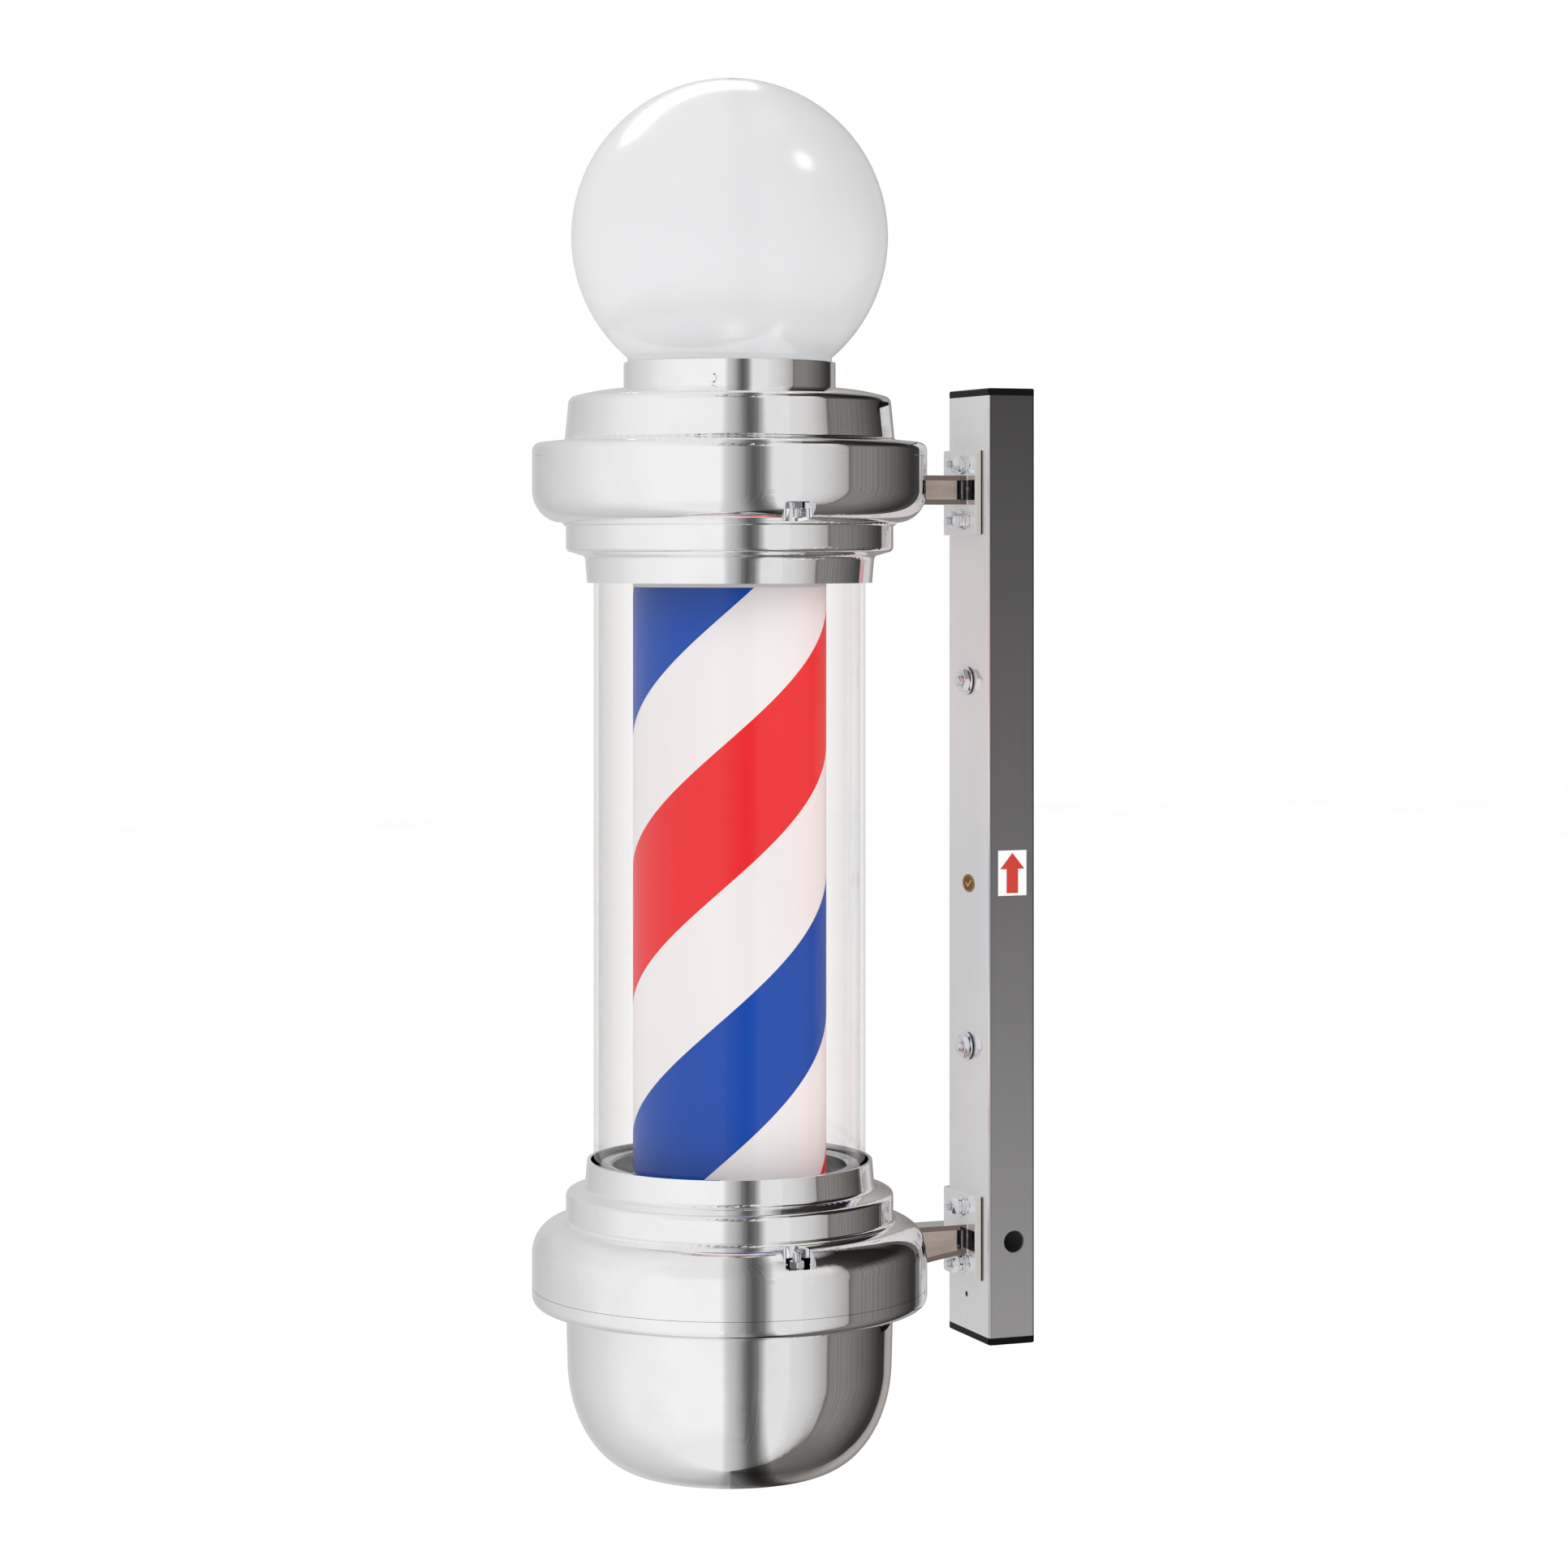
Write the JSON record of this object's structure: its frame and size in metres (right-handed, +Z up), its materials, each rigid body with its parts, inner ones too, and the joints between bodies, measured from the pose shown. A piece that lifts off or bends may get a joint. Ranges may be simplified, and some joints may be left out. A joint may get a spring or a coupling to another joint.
{
  "type": "barber pole light",
  "caption": "Wall-hung barber pole light: an opal globe lamp over a clear tube with a turning striped drum, chrome housings, and two brackets on a rail.",
  "frame": {"origin": "middle of the wall rail's flat back face, where it bears on the wall", "axes": "+Z up along the pole, +Y into the wall, +X to the right of someone who faces the wall"},
  "size_m": [0.2324, 0.3002, 0.8178],
  "materials": {
    "chrome_plate": "mirror-bright chrome plate on die-cast metal",
    "polished_rail": "polished chrome-plated steel tube, faint drawing lines",
    "plated_steel": "bright zinc-plated fastener steel",
    "black_plastic": "moulded black end cap, satin",
    "black_rubber": "soft black sealing rubber",
    "opal_globe": "glossy opal white, evenly translucent",
    "lamp_white": "frosted lamp diffuser",
    "holder_porcelain": "glazed lamp holder",
    "clear_tube": "clear extruded tube with polished edges",
    "bright_seat": "bright turned metal ring, slightly worn",
    "galvanised_plate": "galvanised sheet steel",
    "drum_white": "white drum plastic, satin",
    "stripe_print": "printed film with red, white and blue helical stripes",
    "bush_bronze": "oil-filled sintered bronze",
    "hub_alloy": "turned alloy",
    "shaft_steel": "ground steel",
    "motor_case": "pressed zinc-plated motor can",
    "holder_plastic": "white lamp holder plastic",
    "driver_case": "white power supply case",
    "terminal_nylon": "natural nylon terminal block",
    "label_white": "white self-adhesive label",
    "label_red": "printed red arrow",
    "label_gold": "plain gold foil seal"
  },
  "bodies": {
    "frame": {"upper_band": "chrome_plate", "lower_band": "chrome_plate", "top_cap": "chrome_plate", "bowl": "chrome_plate", "neck_collar": "chrome_plate", "upper_bracket": "chrome_plate", "lower_bracket": "chrome_plate", "wall_rail": "polished_rail", "housing_studs": "plated_steel", "housing_nuts": "plated_steel", "carrier_screws": "plated_steel", "motor_screws": "plated_steel", "stem_nuts": "plated_steel", "bracket_screws": "plated_steel", "bracket_washers": "plated_steel", "bracket_lock_washers": "plated_steel", "bracket_nuts": "plated_steel", "bracket_studs": "plated_steel", "rivet_nuts": "plated_steel", "anchor_washers": "plated_steel", "anchor_nuts": "plated_steel", "anchor_studs": "plated_steel", "globe_set_screws": "plated_steel", "rail_top_cap": "black_plastic", "rail_bottom_cap": "black_plastic", "anchor_seals": "black_rubber", "tube_gaskets": "black_rubber", "globe_bulb": "lamp_white", "bulb_holder": "holder_porcelain", "outer_tube": "clear_tube", "tube_seats": "bright_seat", "upper_carrier": "galvanised_plate", "motor_plate": "galvanised_plate", "gear_motor": "motor_case", "lamp_stem": "shaft_steel", "lamp_holder": "holder_plastic", "drum_lamp": "lamp_white", "led_driver": "driver_case", "terminal_block": "terminal_nylon", "arrow_label": "label_white", "arrow_print": "label_red", "inspection_seal": "label_gold"},
    "drum": {"drum_tube": "drum_white", "stripe_film": "stripe_print", "drum_top_cap": "drum_white", "drum_bush": "bush_bronze", "drum_bottom_cap": "drum_white", "drive_hub": "hub_alloy", "hub_screws": "plated_steel", "motor_shaft": "shaft_steel"},
    "globe": {"globe": "opal_globe"}
  },
  "joints": [
    {"name": "drum_spin", "type": "hinge", "parent": "frame", "child": "drum", "pos_m": [0, -0.184, 0], "axis": [0, 0, 1], "continuous": true},
    {"name": "globe_lift", "type": "slide", "parent": "frame", "child": "globe", "axis": [0, 0, 1], "range_m": [0, 0.12]}
  ]
}
